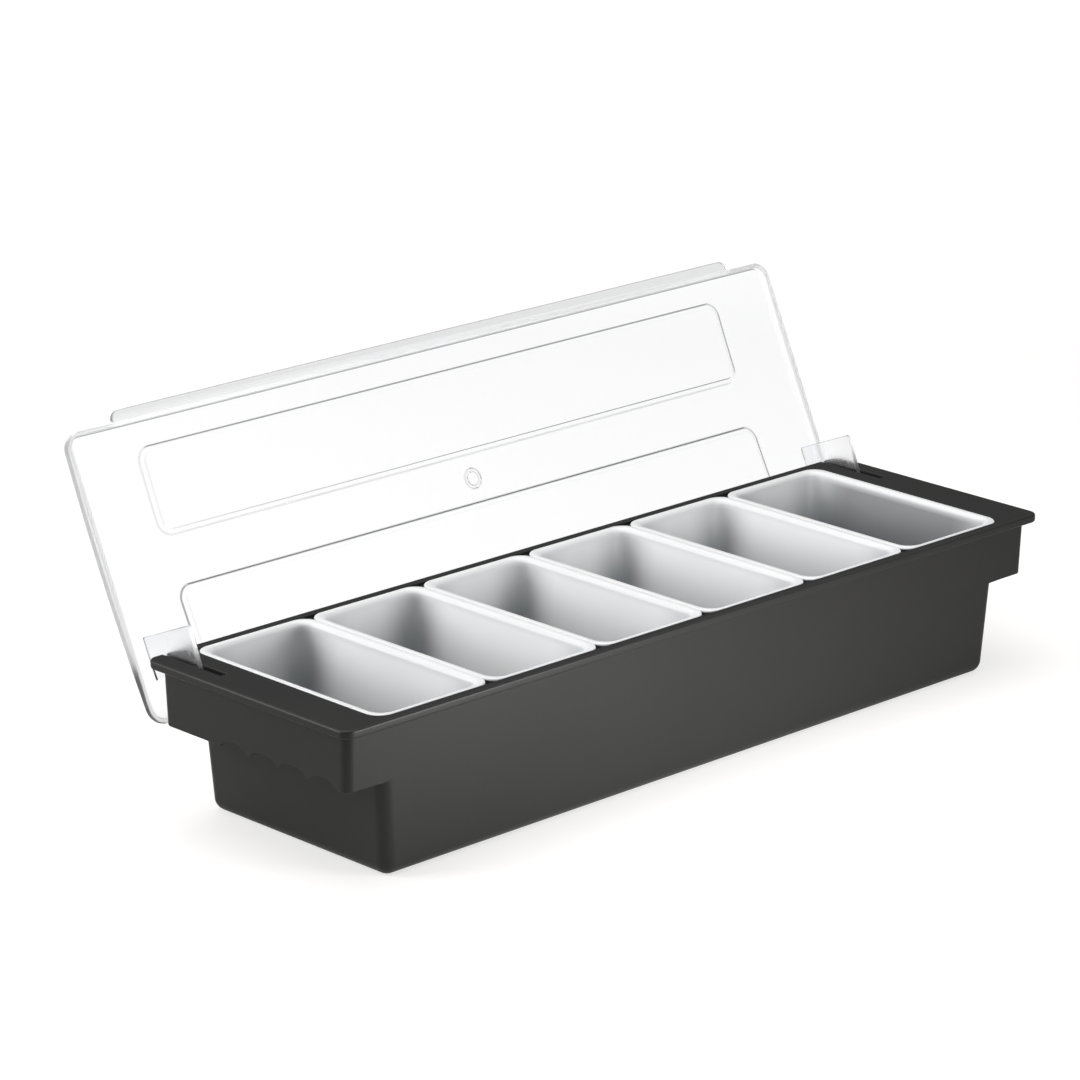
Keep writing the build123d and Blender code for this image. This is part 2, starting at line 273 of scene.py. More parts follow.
def makeTrayPlastic(look):
    # satin black, a little lighter where it is duller
    material, tree, shader = newMaterial("trayBlackPlastic")
    cloud, _ = addGrain(tree, shader, look)
    tone = blendColors(tree, cloud, look["dark"], look["light"])
    tree.links.new(tone, shader.inputs["Base Color"])
    shader.inputs["Specular IOR Level"].default_value = look["specular"]
    return material


insertPlastic = {
    "rim": (0.71, 0.715, 0.72, 1.0),
    # colours from the floor up, all with painted shade lower down in the deep tub: darker painted
    # shade at the corners, then walls with a white wall behind them, and walls with the black tray
    # close behind them, painted darker for the tray showing through
    "corner": (
        (0.0, (0.275, 0.29, 0.302)),
        (0.6, (0.265, 0.282, 0.295)),
        (1.0, (0.56, 0.575, 0.585)),
    ),
    "whiteBacked": (
        (0.0, (0.66, 0.663, 0.667)),
        (0.55, (0.60, 0.603, 0.607)),
        (1.0, (0.81, 0.815, 0.82)),
    ),
    "blackBacked": (
        (0.0, (0.21, 0.217, 0.224)),
        (0.55, (0.155, 0.161, 0.167)),
        (1.0, (0.27, 0.278, 0.286)),
    ),
    "floorHeight": 0.0080,
    "underRim": 0.0800,
    "rimHeight": 0.0838,
    "roughLow": 0.40,
    "roughHigh": 0.50,
    "grainScale": 900.0,
    "cloudScale": 22.0,
    "bumpStrength": 0.10,
    "bumpDistance": 0.00008,
    "scatterWeight": 0.30,
    "scatterScale": 0.003,
    "scatterRadius": (1.0, 1.0, 1.0),
}


def makeInsertPlastic(look):
    # translucent, with painted shade: the walls take on what stands behind them, more so further
    # down, and are darker in their corners
    material, tree, shader = newMaterial("insertTranslucentPlastic")
    addGrain(tree, shader, look)
    up = heightShare(tree, look["floorHeight"], look["underRim"])
    corner, whiteBacked, blackBacked = (
        colorSteps(tree, up, look[k]) for k in ("corner", "whiteBacked", "blackBacked")
    )
    # painted shade where the black tray stands behind a wall
    walls = blendColors(tree, pointValue(tree, "backingShade"), whiteBacked, blackBacked)
    # painted shade in the inner corners
    walls = blendColors(tree, pointValue(tree, "cornerShade"), walls, corner)
    onRim = heightShare(tree, look["underRim"], look["rimHeight"])
    tree.links.new(blendColors(tree, onRim, walls, look["rim"]), shader.inputs["Base Color"])
    shader.inputs["Subsurface Weight"].default_value = look["scatterWeight"]
    shader.inputs["Subsurface Scale"].default_value = look["scatterScale"]
    shader.inputs["Subsurface Radius"].default_value = look["scatterRadius"]
    return material


lidPlastic = {
    "tint": (0.905, 0.915, 0.930, 1.0),
    # painted shade along the moulded edges, standing in for the light they bend away
    "lineShade": (0.08, 0.083, 0.087, 1.0),  # where a moulded edge bends the light away
    "ior": 1.49,
    "softRoughness": 0.55,  # what the least polished edges have more than the rest
    "mostBounces": 2.5,  # light mirrored more often than this leaves the plastic
    "roughLow": 0.0,
    "roughHigh": 0.02,
    "grainScale": 300.0,
    "cloudScale": 30.0,
    "bumpStrength": 0.03,
    "bumpDistance": 0.00005,
}


def makeClearPlastic(name, look):
    # clear acrylic, with painted shade along its moulded edges and steps for the light they bend
    # away, and duller on its soft edges; light that only passes through it on the way to something
    # else isn't held back, and light that has been mirrored to and fro inside it leaves it
    material, tree, shader = newMaterial(name)
    _, rough = addGrain(tree, shader, look)
    # painted shade along the moulded edges and steps
    color = blendColors(tree, pointValue(tree, "edgeShade"), look["tint"], look["lineShade"])
    tree.links.new(color, shader.inputs["Base Color"])
    dulled = mapRange(tree, pointValue(tree, "softEdge"), 0.0, 1.0, 0.0, look["softRoughness"])
    tree.links.new(maths(tree, "ADD", rough, dulled), shader.inputs["Roughness"])
    shader.inputs["Transmission Weight"].default_value = 1.0
    shader.inputs["IOR"].default_value = look["ior"]
    path = tree.nodes.new("ShaderNodeLightPath").outputs
    outside = maths(tree, "LESS_THAN", path["Transmission Depth"], anyDepth)
    mirrored = maths(tree, "MULTIPLY", path["Is Glossy Ray"], outside)
    trapped = maths(tree, "GREATER_THAN", path["Glossy Depth"], look["mostBounces"])
    passing = maths(tree, "MAXIMUM", path["Is Shadow Ray"], path["Is Diffuse Ray"])
    passing = maths(tree, "MAXIMUM", passing, maths(tree, "MAXIMUM", mirrored, trapped))
    through = tree.nodes.new("ShaderNodeBsdfTransparent")
    mix = tree.nodes.new("ShaderNodeMixShader")
    tree.links.new(passing, mix.inputs["Fac"])
    tree.links.new(shader.outputs["BSDF"], mix.inputs[1])
    tree.links.new(through.outputs["BSDF"], mix.inputs[2])
    tree.links.new(mix.outputs["Shader"], tree.nodes["Material Output"].inputs["Surface"])
    return material


trayMaterial = makeTrayPlastic(trayPlastic)
insertMaterial = makeInsertPlastic(insertPlastic)
lidMaterial = makeClearPlastic("lidClearPlastic", lidPlastic)
pinMaterial = makeClearPlastic("pinClearPlastic", lidPlastic)
print("materials made")

# Tray: the moulded form of the frame, with the small radii of a real moulding on its edges

trayEdges = {
    "mergeDistance": 0.000002,
    "flatAngle": 0.4,
    "radius": 0.00035,
    "segments": 3,
    "edgeAngle": 38.0,
}


def mergedCopy(node, name, sizes):
    # a copy of a node's mesh with its loose triangles joined and its flat faces made whole
    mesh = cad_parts[node].data.copy()
    mesh.name = name
    work = bmesh.new()
    work.from_mesh(mesh)
    bmesh.ops.remove_doubles(work, verts=work.verts, dist=sizes["mergeDistance"])
    flat = math.radians(sizes["flatAngle"])
    bmesh.ops.dissolve_limit(work, angle_limit=flat, verts=work.verts, edges=work.edges)
    work.to_mesh(mesh)
    work.free()
    if "custom_normal" in mesh.attributes:
        mesh.attributes.remove(mesh.attributes["custom_normal"])
    mesh.shade_smooth()
    mesh.set_sharp_from_angle(angle=math.radians(sizes["edgeAngle"]))
    return mesh


trayMesh = mergedCopy("tray", "trayMoulded", trayEdges)
tray = newPiece("trayMoulded", trayMesh, trayMaterial, "tray")
rounding = tray.modifiers.new("edgeRadius", "BEVEL")
rounding.width = trayEdges["radius"]
rounding.segments = trayEdges["segments"]
rounding.limit_method = "ANGLE"
rounding.angle_limit = math.radians(trayEdges["edgeAngle"])
rounding.use_clamp_overlap = False
rounding.harden_normals = True
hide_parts("tray")
print("tray made:", len(trayMesh.polygons), "faces")

# Inserts: rounded rectangles carried down and up a wall profile

insertForm = {
    "count": 6,
    "pitch": 0.075,
    "top": 0.085,
    "depth": 0.078,
    "wall": 0.0018,
    "rimThickness": 0.0018,
    "rimHalf": (0.03735, 0.06855),
    "tubHalf": (0.03435, 0.06638),  # outer half sizes under the rim
    "taper": (0.0753, 0.0412),  # how far each wall leans in for its height
    "cornerRadius": 0.009,
    "cornerShare": 0.8,  # the share of a wall's way inwards that its corner's radius loses
    "footRadius": 0.0068,
    "floorRadius": 0.0052,
    "lipRadius": 0.0026,
    "edgeRadius": 0.0009,
    "cornerSteps": 12,
    "sideSteps": 14,
    "arcSteps": 8,
    "backingReach": 0.014,  # how wide the change is between the two kinds of backing
    # the painted shade in each inner corner, which also stands for the dark gap behind it, is full
    # to a share of its reach, and ends that share past it
    "cornerReach": 0.022,
    "cornerCore": 0.25,
    # how much painted shade the tray behind gives the front and rear walls, which stand further
    # off from it, and the floor, with the tray below it, which blends into the walls over a height
    "endBacking": 0.09,
    "floorBacking": 0.35,
    "floorBlend": 0.005,
}


def roundedRings(halfX, halfY, radius, height, steps, sideSteps):
    # a rounded rectangle for each entry of the profile: corner centres plus radius times a
    # quarter turn, with points along each straight side that are closer together near the corners
    quarter = np.linspace(0, math.pi / 2, steps + 1)
    turn = np.concatenate([quarter + math.pi / 2 * k for k in range(4)])
    signX = np.repeat([1.0, -1.0, -1.0, 1.0], steps + 1)
    signY = np.repeat([1.0, 1.0, -1.0, -1.0], steps + 1)
    x = signX * (halfX - radius)[:, None] + radius[:, None] * np.cos(turn)
    y = signY * (halfY - radius)[:, None] + radius[:, None] * np.sin(turn)
    z = np.repeat(height[:, None], turn.size, axis=1)
    corners = np.stack([x, y, z], axis=2).reshape(len(height), 4, steps + 1, 3)
    start, end = corners[:, :, -1:], np.roll(corners, -1, axis=1)[:, :, :1]
    share = (1 - np.cos(np.linspace(0, math.pi, sideSteps + 2)[1:-1])[:, None]) / 2
    sides = start + share * (end - start)
    return np.concatenate([corners, sides], axis=2).reshape(len(height), -1, 3)


def bend(inward, height, radius, start, end, steps):
    # part of a circle round a point of the profile, between two angles in degrees
    angle = np.radians(np.linspace(start, end, steps + 1))
    return np.stack([inward - radius * np.cos(angle), height + radius * np.sin(angle)], axis=1)


def insertProfile(form):
    # (inward from the tub's wall line, height): up the outside, over the rim and down inside
    top, wall, steps = form["top"], form["wall"], form["arcSteps"]
    foot, floor, lip, edge = (
        form[k] for k in ("footRadius", "floorRadius", "lipRadius", "edgeRadius")
    )
    bottom = top - form["depth"]
    under = top - form["rimThickness"]
    rim = form["tubHalf"][0] - form["rimHalf"][0] + edge
    outside = [bend(foot, bottom + foot, foot, 270, 360, steps), [[0.0, under]]]
    over = [
        bend(rim, under + edge, edge, 270, 360, steps // 2),
        bend(rim, top - edge, edge, 0, 90, steps // 2),
    ]
    inside = [
        bend(wall - lip, top - lip, lip, 90, 180, steps),
        bend(wall + floor, bottom + wall + floor, floor, 0, -90, steps),
    ]
    return np.concatenate(outside), np.concatenate(over), np.concatenate(inside)


def makeInsertMesh(name, form, place):
    # half sizes are the wall line's, less the way inwards and the lean below the top; the rim
    # has no lean and steps out as far at its ends as at its sides
    outside, over, inside = insertProfile(form)
    inward, height = np.concatenate([outside, over, inside]).T
    drop = form["top"] - height
    onRim = np.zeros(len(inward), bool)
    onRim[len(outside):len(outside) + len(over)] = True
    leanX = np.where(onRim, 0.0, form["taper"][0] * drop)
    leanY = np.where(onRim, 0.0, form["taper"][1] * drop)
    (rimX, rimY), (tubX, tubY) = form["rimHalf"], form["tubHalf"]
    rimStep = (rimY - tubY) - (rimX - tubX)
    halfX = tubX - inward - leanX
    halfY = tubY - inward - leanY + np.where(onRim, rimStep, 0.0)
    loss = np.where(onRim, inward - inward.min(), np.maximum(inward, 0.0) * form["cornerShare"])
    radius = form["cornerRadius"] - loss
    rings = roundedRings(halfX, halfY, radius, height, form["cornerSteps"], form["sideSteps"])
    points = rings.reshape(-1, 3) + np.array([place, 0.0, 0.0])
    numbers = np.arange(len(points)).reshape(rings.shape[:2])
    mesh = bpy.data.meshes.new(name)
    mesh.from_pydata(points.tolist(), [], stackFaces(numbers))
    mesh.validate()
    mesh.shade_smooth()
    mesh.set_sharp_from_angle(angle=math.radians(smoothAngle))
    mesh.update()
    return mesh


def meshPoints(mesh):
    # the places of a mesh's points, one row each
    points = np.empty(len(mesh.vertices) * 3)
    mesh.vertices.foreach_get("co", points)
    return points.reshape(-1, 3)


def keepOnPoints(mesh, name, values):
    # one value for each point, for the material to read
    mesh.attributes.new(name, "FLOAT", "POINT").data.foreach_set("value", values)


def markBacking(mesh, form, place, blackLeft, blackRight):
    # painted shade for what stands behind a wall: 1 where the black tray does, 0 where the white
    # wall of the next insert does
    x, y, z = meshPoints(mesh).T
    pastX = np.abs(x - place) - form["tubHalf"][0]
    pastY = np.abs(y) - form["tubHalf"][1]
    onSide = stepAcross(pastX - pastY, form["backingReach"])
    black = np.where(x < place, blackLeft, blackRight)
    backingShade = form["endBacking"] * (1 - onSide) + black * onSide
    floorLevel = form["top"] - form["depth"] + form["wall"]
    onWalls = smoothStep((z - floorLevel) / form["floorBlend"])
    backingShade = form["floorBacking"] * (1 - onWalls) + backingShade * onWalls
    # painted shade in each inner corner, fading along the walls away from it
    corner = np.hypot(pastX, pastY) / form["cornerReach"]
    keepOnPoints(mesh, "backingShade", backingShade)
    keepOnPoints(mesh, "cornerShade", onWalls * smoothStep(1 + form["cornerCore"] - corner))


for number in range(insertForm["count"]):
    place = (number - (insertForm["count"] - 1) / 2) * insertForm["pitch"]
    body = f"insert_{number + 1}"
    mesh = makeInsertMesh(f"insertTub{number + 1}", insertForm, place)
    markBacking(mesh, insertForm, place, number == 0, number == insertForm["count"] - 1)
    insert = newPiece(f"insertTub{number + 1}", mesh, insertMaterial, body)
    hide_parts(body)
print("inserts made:", insertForm["count"])

# Lid: a thin arched shell with stepped panels, a rim all round, a grip and two hinge fins

lidForm = {
    "length": 0.500,
    "width": 0.1508,
    "wall": 0.0022,
    "rearHeight": 0.0032,  # of the arch, over its rear edge, its middle and its front edge
    "middleHeight": 0.0068,
    "frontHeight": 0.0052,
    "cornerRadius": 0.009,
    "edgeRadius": 0.0016,
    "rimRadius": 0.0007,
    "panelHalfLength": 0.2075,
    "panelSides": ((0.0220, 0.0635), (0.0895, 0.1355)),
    "panelStep": 0.0006,
    "panelRadius": 0.008,
    "panelSlope": 0.0016,
    "panelInnerInset": 0.0027,
    "gateRadius": 0.0055,
    "gateNub": 0.0038,
    "gateDepth": 0.0005,
    "gatePlace": 0.0765,
    "gateSlope": 0.0006,
    "lean": 25.2,  # degrees
    "originHeight": 0.0508,
    "originDepth": 0.0681918,
}

lean = math.radians(lidForm["lean"])
lidOrigin = np.array([0.0, lidForm["originDepth"], lidForm["originHeight"]])
lidAxes = np.array([
    [1.0, 0.0, 0.0],
    [0.0, math.sin(lean), math.cos(lean)],
    [0.0, -math.cos(lean), math.sin(lean)],
])


def toFrame(local):
    # (along, up the lid, inwards) to the frame's X, Y, Z
    return lidOrigin + local @ lidAxes


def crownArc(form):
    # the circle through the arch's rear, middle and front points: its centre and radius
    v = np.array([0.0, form["width"] / 2, form["width"]])
    n = -np.array([form["rearHeight"], form["middleHeight"], form["frontHeight"]])
    system = np.stack([2 * v, 2 * n, np.ones(3)], axis=1)
    a, b, c = np.linalg.solve(system, v**2 + n**2)
    return a, b, math.sqrt(c + a * a + b * b)


def crownDepth(v, form):
    # how far inwards the plain arch lies at each way up the lid
    a, b, r = crownArc(form)
    return b - np.sqrt(np.maximum(r * r - (v - a) ** 2, 0))


def roundedDistance(x, v, halfX, low, high, radius):
    # how far inside a rounded rectangle a point lies, negative outside
    middle, halfV = (low + high) / 2, (high - low) / 2
    qx = np.abs(x) - (halfX - radius)
    qv = np.abs(v - middle) - (halfV - radius)
    outside = np.hypot(np.maximum(qx, 0), np.maximum(qv, 0))
    return radius - outside - np.minimum(np.maximum(qx, qv), 0)


def insidePanels(x, v, form):
    # how far inside each panel's outline the points lie, the lower panel first
    length, radius = form["panelHalfLength"], form["panelRadius"]
    return [roundedDistance(x, v, length, low, high, radius) for low, high in form["panelSides"]]


def lidRelief(x, v, form, inset):
    # how far the arched face is set inwards by its panels, their outlines drawn in by the inset
    steps = [stepAcross(inside - inset, form["panelSlope"]) for inside in insidePanels(x, v, form)]
    return sum(form["panelStep"] * step for step in steps)


def gateRelief(x, v, form):
    # a ring-shaped groove round the gate's nub
    reach = np.hypot(x, v - form["gatePlace"])
    ring = stepAcross(form["gateRadius"] - reach, form["gateSlope"])
    nub = stepAcross(form["gateNub"] - reach, form["gateSlope"])
    return form["gateDepth"] * (ring - nub)


lidLines = {
    # where the rows and columns of the shell run
    "panelStep": 0.0003,
    "panelReach": 0.0085,  # how far from a panel's edge its rounded corners need close rows
    "gateStep": 0.0005,
    "gateReach": 0.0066,
    "cornerLines": 16,  # round each corner, and over the edge's radius
    "edgeLines": 8,
    "betweenLines": 22,  # from the gate to the panels' ends
    "endStart": 0.004,  # past the panels' ends, up to the corners
    "endLines": 6,
    # first, last and number of the rows on the plain bands
    "plainRows": ((0.006, 0.0195, 5), (0.034, 0.052, 5), (0.1, 0.125, 6), (0.138, 0.147, 4)),
    "digits": 6,  # that the rows are rounded to
    "leastGap": 0.00004,  # of two rows that are closer, one goes
    # further than this from the corners, the rear and the front, the inner face's rows and
    # columns lie straight under the outer face's
    "cornerMargin": 0.001,
    "rearMargin": 0.018,
    "frontMargin": 0.012,
}


def closeSteps(middle, reach, step):
    # even steps to both sides of a middle
    return np.arange(middle - reach, middle + reach + step / 2, step)


def gridLines(form, lines):
    # rows and columns of the shell: close together at its edge, at the panels' edges and round
    # the gate
    half, width, radius = form["length"] / 2, form["width"], form["cornerRadius"]
    panelEnd, slope = form["panelHalfLength"], form["panelSlope"]
    step, reach = lines["panelStep"], lines["panelReach"]
    gateReach, gateStep = lines["gateReach"], lines["gateStep"]
    quarter = np.radians(np.linspace(0, 90, lines["cornerLines"]))
    ends = np.concatenate([
        np.arange(panelEnd - reach, panelEnd + slope, step),
        np.linspace(panelEnd + lines["endStart"], half - radius, lines["endLines"])[:-1],
        half - radius + radius * np.sin(quarter),
    ])
    gate = closeSteps(0.0, gateReach, gateStep)
    between = np.linspace(gateReach, panelEnd - reach, lines["betweenLines"])[1:-1]
    columns = np.concatenate([-ends[::-1], -between[::-1], gate, between, ends])
    quarter = np.radians(np.linspace(0, 90, lines["edgeLines"]))
    edge = form["edgeRadius"] * (1 - np.cos(quarter))
    rows = [edge, width - edge, closeSteps(form["gatePlace"], gateReach, gateStep)]
    for low, high in form["panelSides"]:
        rows.append(np.arange(low - slope, low + reach, step))
        rows.append(np.arange(high - reach, high + slope, step))
    rows += [np.linspace(*band) for band in lines["plainRows"]]
    rows = np.unique(np.round(np.concatenate(rows), lines["digits"]))
    rows = rows[np.concatenate([[True], np.diff(rows) > lines["leastGap"]])]
    return columns, rows


def shellGrid(columns, rows, form, inset, drop):
    # rows bend in at the rounded corners, and the face turns down over the edge's radius
    half = form["length"] / 2 - inset
    radius = form["cornerRadius"] - inset
    x = np.repeat(columns[:, None], rows.size, axis=1)
    past = np.clip(np.abs(x) - (half - radius), 0, radius)
    low = inset + radius - np.sqrt(np.maximum(radius**2 - past**2, 0))
    high = form["width"] - low
    share = (rows - inset) / (form["width"] - 2 * inset)
    v = low + share * (high - low)
    n = crownDepth(v, form) + drop
    n = n + lidRelief(x, v, form, form["panelInnerInset"] if inset > 0 else 0.0)
    inside = roundedDistance(x, v, half, inset, form["width"] - inset, radius)
    edge = form["edgeRadius"]
    turn = np.clip(inside, 0, edge)
    n = n + edge - np.sqrt(edge**2 - (edge - turn) ** 2)
    return np.stack([x, v, n], axis=2)


def boundaryLoop(numbers):
    # the outermost vertex numbers of a grid, once round
    sides = [numbers[:, 0], numbers[-1, 1:], numbers[-2::-1, -1], numbers[0, -2:0:-1]]
    return np.concatenate(sides)


def gridFaces(numbers):
    # one quad for each cell of a grid of vertex numbers
    near, far = numbers[:-1], numbers[1:]
    quads = np.stack([near[:, :-1], far[:, :-1], far[:, 1:], near[:, 1:]], axis=2)
    return quads.reshape(-1, 4)


def makeShell(form, lines):
    # outer face, inner face, and the rim between them rounded at its free edge
    half, wall, width, soft = form["length"] / 2, form["wall"], form["width"], form["rimRadius"]
    columns, rows = gridLines(form, lines)
    outer = shellGrid(columns, rows, form, 0.0, 0.0)
    outer[:, :, 2] += gateRelief(outer[:, :, 0], outer[:, :, 1], form)
    straight = np.abs(columns) < half - form["cornerRadius"] - lines["cornerMargin"]
    innerColumns = np.unique(np.where(straight, columns, columns * (half - wall) / half))
    straight = (rows > lines["rearMargin"]) & (rows < width - lines["frontMargin"])
    innerRows = np.where(straight, rows, wall + rows / width * (width - 2 * wall))
    inner = shellGrid(innerColumns, innerRows, form, wall, wall)
    count = outer.shape[0] * outer.shape[1]
    outerNumbers = np.arange(count).reshape(outer.shape[:2])
    innerNumbers = count + np.arange(count).reshape(inner.shape[:2])
    points = [np.concatenate([outer.reshape(-1, 3), inner.reshape(-1, 3)])]
    faces = [gridFaces(outerNumbers)[:, ::-1], gridFaces(innerNumbers)]
    outerLoop, innerLoop = boundaryLoop(outerNumbers), boundaryLoop(innerNumbers)
    outerEdge, innerEdge = points[0][outerLoop], points[0][innerLoop]
    across = innerEdge[:, :2] - outerEdge[:, :2]
    across = across / np.maximum(np.linalg.norm(across, axis=1, keepdims=True), tiny)
    previous, start = outerLoop, 2 * count
    for edge, side, angles in ((outerEdge, 1, quarterTurn), (innerEdge, -1, quarterTurn[::-1])):
        for angle in angles:
            ring = edge.copy()
            ring[:, :2] += side * across * soft * (1 - math.cos(angle))
            ring[:, 2] = soft * math.sin(angle) - soft
            numbers = start + np.arange(len(ring))
            points.append(ring)
            faces.append(stripFaces(previous, numbers))
            previous, start = numbers, start + len(ring)
    faces.append(stripFaces(previous, innerLoop))
    return np.concatenate(points), np.concatenate(faces).tolist()


shellPoints, shellFaces = makeShell(lidForm, lidLines)
print("lid shell:", len(shellPoints), "points")

gripForm = {
    "length": 0.439,
    "width": 0.0056,
    "cornerRadius": 0.005,
    "cornerSteps": 10,
    "edgeRadius": 0.0006,
    "root": 0.0012,  # how far it reaches into the shell's front wall
}

finForm = {
    "inset": 0.0125,
    "thickness": 0.0024,
    "depth": 0.035,
    "low": 0.0215,
    "high": 0.044,
    "slant": 0.0015,
    "seat": 0.0034,
    "cornerRadius": 0.001,
    "cornerSteps": 8,
    "edgeRadius": 0.0003,
    "pinLow": 0.015,
    "pinDepth": 0.029,
    "footRadius": 0.0045,
    "footRise": 0.0015,  # how much less deep the foot is than the front corner
    "footShare": 0.9,  # of its radius, for the foot's two corners
    "kneeReach": 1.5,  # in foot radii, from the pin back to the rear edge's knee
    "pinHole": 0.00206,
    "pinHoleSides": 32,
    "pinHoleEdge": 0.0001,
}


def roundedOutline(corners, radii, steps):
    # each corner of an outline becomes an arc tangent to its two sides
    corners = np.array(corners, float)
    pieces = []
    for k, radius in enumerate(radii):
        here = corners[k]
        before = corners[k - 1] - here
        after = corners[(k + 1) % len(corners)] - here
        before, after = before / np.linalg.norm(before), after / np.linalg.norm(after)
        half = math.acos(np.clip(before @ after, -1, 1)) / 2
        if radius <= 0 or half < tiny:
            pieces.append(here[None, :])
            continue
        out = (before + after) / np.linalg.norm(before + after)
        centre = here + out * radius / math.sin(half)
        start = here + before * radius / math.tan(half) - centre
        end = here + after * radius / math.tan(half) - centre
        t = np.linspace(0, 1, steps + 1)[:, None]
        sweep = math.pi - 2 * half
        turned = np.sin((1 - t) * sweep) * start + np.sin(t * sweep) * end
        pieces.append(centre + turned / math.sin(sweep))
    return np.concatenate(pieces)


def inwardNormals(outline):
    # unit vectors to the inside of a closed outline that is walked anticlockwise
    tangent = np.roll(outline, -1, axis=0) - np.roll(outline, 1, axis=0)
    tangent = tangent / np.linalg.norm(tangent, axis=1, keepdims=True)
    return np.stack([-tangent[:, 1], tangent[:, 0]], axis=1)


def makePlate(outline, low, high, edge):
    # an outline in two axes given a thickness along the third, its two faces' edges rounded
    inward = inwardNormals(outline)
    fromSide, fromFace = edge * (1 - np.sin(quarterTurn)), edge * (1 - np.cos(quarterTurn))
    inset = np.concatenate([fromSide, fromFace])
    level = np.concatenate([low + fromFace, high - fromSide])
    rings = outline[None] + inset[:, None, None] * inward[None]
    levels = np.repeat(level[:, None, None], len(outline), axis=1)
    points = np.concatenate([rings, levels], axis=2).reshape(-1, 3)
    return points, stackFaces(np.arange(len(points)).reshape(len(inset), -1))


def outwards(mesh):
    # faces of a closed mesh turned to point out
    work = bmesh.new()
    work.from_mesh(mesh)
    bmesh.ops.recalc_face_normals(work, faces=work.faces)
    work.to_mesh(mesh)
    work.free()


def makeGrip(lid, form):
    # a strip along the lid's front edge, with its two free corners rounded
    half = form["length"] / 2
    rear, front = lid["width"] - form["root"], lid["width"] + form["width"]
    outline = roundedOutline(
        [(-half, rear), (half, rear), (half, front), (-half, front)],
        [0, 0, form["cornerRadius"], form["cornerRadius"]], form["cornerSteps"],
    )
    points, faces = makePlate(outline, -lid["wall"], 0.0, form["edgeRadius"])
    return toFrame(points), faces


def atFin(points, side, lid, form):
    # a plate drawn in (up the lid, inwards) set upright near the left or right end of the lid
    middle = side * (lid["length"] / 2 - form["inset"])
    return toFrame(np.stack([middle + points[:, 2], points[:, 0], points[:, 1]], axis=1))


def makeFin(side, lid, form):
    # seated in the shell, with a foot behind it that holds the pin
    low, high, depth, foot = form["low"], form["high"], form["depth"], form["footRadius"]
    pinLow, pinDepth, small = form["pinLow"], form["pinDepth"], form["cornerRadius"]
    footCorner = foot * form["footShare"]
    outline = roundedOutline(
        [
            (low, -form["seat"]),
            (high, -form["seat"]),
            (high - form["slant"], depth),
            (pinLow - foot, depth - form["footRise"]),
            (pinLow - foot, pinDepth - foot),
            (low, pinDepth - form["kneeReach"] * foot),
        ],
        [small, small, 2 * small, footCorner, footCorner, small], form["cornerSteps"],
    )
    half = form["thickness"] / 2
    points, faces = makePlate(outline, -half, half, form["edgeRadius"])
    return atFin(points, side, lid, form), faces


def makePinHole(side, lid, form):
    # a round bar through the fin's foot, to be cut away
    turn = np.linspace(0, 2 * math.pi, form["pinHoleSides"] + 1)[:-1]
    up = form["pinLow"] + form["pinHole"] * np.cos(turn)
    down = form["pinDepth"] + form["pinHole"] * np.sin(turn)
    reach = form["thickness"]
    points, faces = makePlate(np.stack([up, down], axis=1), -reach, reach, form["pinHoleEdge"])
    return atFin(points, side, lid, form), faces


def helperPiece(name, points, faces):
    # a closed mesh as an object, its faces turned to point out
    mesh = bpy.data.meshes.new(name)
    mesh.from_pydata(points.tolist(), [], faces)
    outwards(mesh)
    return linked(name, mesh)


def combine(piece, helper, operation):
    # one exact union or cut, applied at once
    cut = piece.modifiers.new(helper.name, "BOOLEAN")
    cut.operation = operation
    cut.solver = "EXACT"
    cut.object = helper
    bpy.context.view_layer.update()
    evaluated = piece.evaluated_get(bpy.context.evaluated_depsgraph_get())
    result = bpy.data.meshes.new_from_object(evaluated)
    piece.modifiers.clear()
    old = piece.data
    piece.data = result
    bpy.data.meshes.remove(old)
    bpy.data.objects.remove(helper)


lidEdgeShades = {
    # how dark each edge's line of painted shade is, and how dull the less polished edges are
    "outerLines": (0.44, 1.0),  # the upper panel's, then the lower one's
    "innerLine": 0.13,
    "lineWidth": 0.0008,
    "gateLine": 0.50,
    "crestLine": 0.08,
    "rimLine": 0.50,
    "gripRoot": 0.35,  # the share of the rim's line that is left where the grip grows out of it
    "gripLine": 0.80,
    "gripWidth": 0.0007,
    "gripStart": 0.0002,  # how far past the shell's front edge the grip's own points begin
    "finLine": 0.45,
    "finWidth": 0.0006,
    "finStart": 0.001,  # how far below the shell's inner face the fins' own points begin
    "softRim": 0.80,  # how dull the free rim and the sides are, beside the fins' front edges
    "sideReach": 1.5,  # in edge radii
    "softReach": 0.002,  # how far the fins' dull front edges reach, and over what they end
    "softBlend": 0.0006,
}


def nearLine(reach, width, core=0.2):
    # 1 on a line and to a small share of the width, falling to 0 as far past the width
    return smoothStep(1 + core - np.abs(reach) / width)


